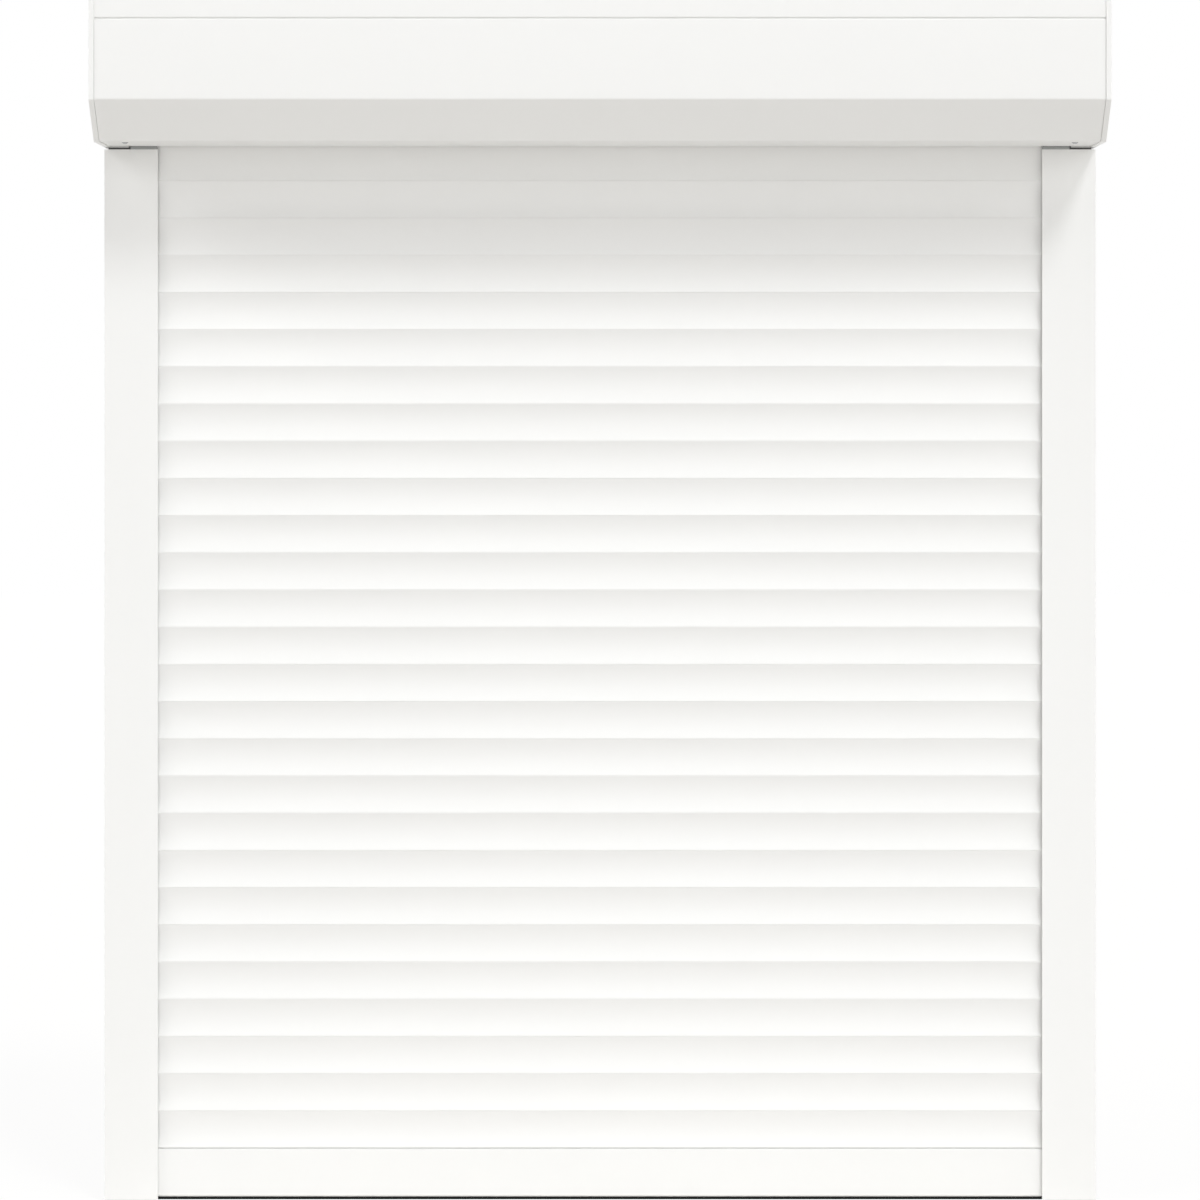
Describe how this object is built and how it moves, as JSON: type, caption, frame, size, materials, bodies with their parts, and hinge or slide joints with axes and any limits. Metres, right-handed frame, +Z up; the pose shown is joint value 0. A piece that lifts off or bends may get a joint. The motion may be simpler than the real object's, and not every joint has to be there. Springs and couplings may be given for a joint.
{
  "type": "exterior roller shutter",
  "caption": "Front-mounted exterior roller shutter: slanted head box, two guide rails, hollow-faced interlocking slats, bottom bar with rubber seal and a driven octagonal axle.",
  "frame": {"origin": "bottom centre of the bounding box, at sill height under the middle of the head box", "axes": "+X to the right seen from outside, +Y to the wall, +Z up along the guide rails; the front faces -Y"},
  "size_m": [0.985, 0.137, 1.185],
  "materials": {
    "powder_coat": "satin",
    "slat_coat": "satin",
    "galvanised_steel": "satin",
    "bright_steel": "satin",
    "raw_aluminium": "satin",
    "grey_plastic": "matte",
    "dark_plastic": "matte",
    "seal_strip": "matte",
    "black_rubber": "matte",
    "foam": "matte"
  },
  "bodies": {
    "frame": {"box_housing": "powder_coat", "inspection_cover": "powder_coat", "left_end_cap": "powder_coat", "right_end_cap": "powder_coat", "left_guide_rail": "powder_coat", "right_guide_rail": "powder_coat", "outlet_strip": "powder_coat", "motor_bracket": "galvanised_steel", "bearing_outer_ring": "bright_steel", "motor_tube": "bright_steel", "bracket_screws": "bright_steel", "cover_screws": "bright_steel", "housing_rivets": "raw_aluminium", "left_inlet_funnel": "grey_plastic", "right_inlet_funnel": "grey_plastic", "left_rail_foot": "grey_plastic", "right_rail_foot": "grey_plastic", "motor_head": "dark_plastic", "left_rail_seals": "seal_strip", "right_rail_seals": "seal_strip"},
    "axle": {"axle_tube": "galvanised_steel", "idler_capsule": "dark_plastic", "bearing_inner_ring": "bright_steel", "bearing_balls": "bright_steel", "limit_crown": "dark_plastic", "drive_wheel": "dark_plastic", "hanger_straps": "galvanised_steel"},
    "curtain": {"slat_01": "slat_coat", "slat_02": "slat_coat", "slat_03": "slat_coat", "slat_04": "slat_coat", "slat_05": "slat_coat", "slat_06": "slat_coat", "slat_07": "slat_coat", "slat_08": "slat_coat", "slat_09": "slat_coat", "slat_10": "slat_coat", "slat_11": "slat_coat", "slat_12": "slat_coat", "slat_13": "slat_coat", "slat_14": "slat_coat", "slat_15": "slat_coat", "slat_16": "slat_coat", "slat_17": "slat_coat", "slat_18": "slat_coat", "slat_19": "slat_coat", "slat_20": "slat_coat", "slat_21": "slat_coat", "slat_22": "slat_coat", "slat_23": "slat_coat", "slat_24": "slat_coat", "slat_25": "slat_coat", "slat_26": "slat_coat", "slat_27": "slat_coat", "slat_foam": "foam", "slat_end_locks": "grey_plastic", "bottom_bar": "powder_coat", "bottom_seal": "black_rubber", "bar_end_plugs": "grey_plastic"}
  },
  "joints": [
    {"name": "curtain_lift", "type": "slide", "parent": "frame", "child": "curtain", "axis": [0, 0, 1], "range_m": [0, 0.12], "deforming": ["hanger_straps"]},
    {"name": "axle_turn", "type": "hinge", "parent": "frame", "child": "axle", "pos_m": [0, 0, 1.1165], "axis": [1, 0, 0], "range_deg": [0, 275]}
  ],
  "couplings": [
    {"joint": "axle_turn", "follows": "curtain_lift", "rad_per_m": 39.2}
  ]
}
